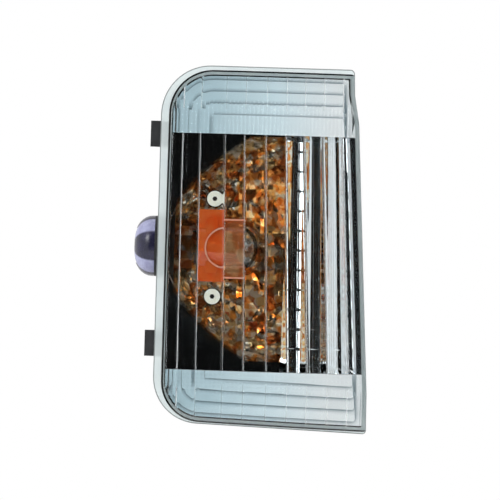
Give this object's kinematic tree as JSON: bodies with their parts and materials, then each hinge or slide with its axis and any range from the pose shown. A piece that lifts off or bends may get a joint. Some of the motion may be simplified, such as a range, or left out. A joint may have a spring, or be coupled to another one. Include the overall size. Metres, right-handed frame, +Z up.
{
  "type": "mirror turn signal lamp",
  "caption": "Side turn signal lamp for a van's wing mirror: clear fluted lens, faceted reflector, amber bulb cover and a side twist-lock bulb holder in a black rear shell.",
  "frame": {"origin": "midway between the end faces of the two rear screw bosses, at the height of the bulb's axis", "axes": "+X to the right as the lamp is seen from the front, +Z up, the lens faces -Y and the mounting bosses face +Y"},
  "size_m": [0.0953, 0.062, 0.1456],
  "materials": {
    "clear_lens": "clear moulded, fluted window with finely ribbed zones",
    "seal_rubber": "matt black rubber",
    "housing_black": "moulded black plastic, satin",
    "metallised": "vacuum metallised plastic with facets and pillows",
    "amber": "clear amber moulding",
    "screw_pale": "pale plated heads",
    "holder_plastic": "dark moulded plastic",
    "contact_metal": "stamped strip",
    "bulb_glass": "clear glass",
    "filament_metal": "drawn wire coil",
    "lead_metal": "drawn wire"
  },
  "bodies": {
    "lamp": {"lens": "clear_lens", "lens_seal": "seal_rubber", "housing": "housing_black", "reflector": "metallised", "amber_cover": "amber", "cover_screws": "screw_pale", "vent_cap": "seal_rubber"},
    "holder": {"bulb_holder": "holder_plastic", "holder_seal": "seal_rubber", "contact_upper": "contact_metal", "contact_lower": "contact_metal", "bulb_glass": "bulb_glass", "bulb_filament": "filament_metal", "bulb_leads": "lead_metal"}
  },
  "joints": [
    {"name": "bulb_holder_turn", "type": "hinge", "parent": "lamp", "child": "holder", "pos_m": [-0.041, -0.0296, 0], "axis": [-1, 0, 0], "range_deg": [0, 45]}
  ]
}
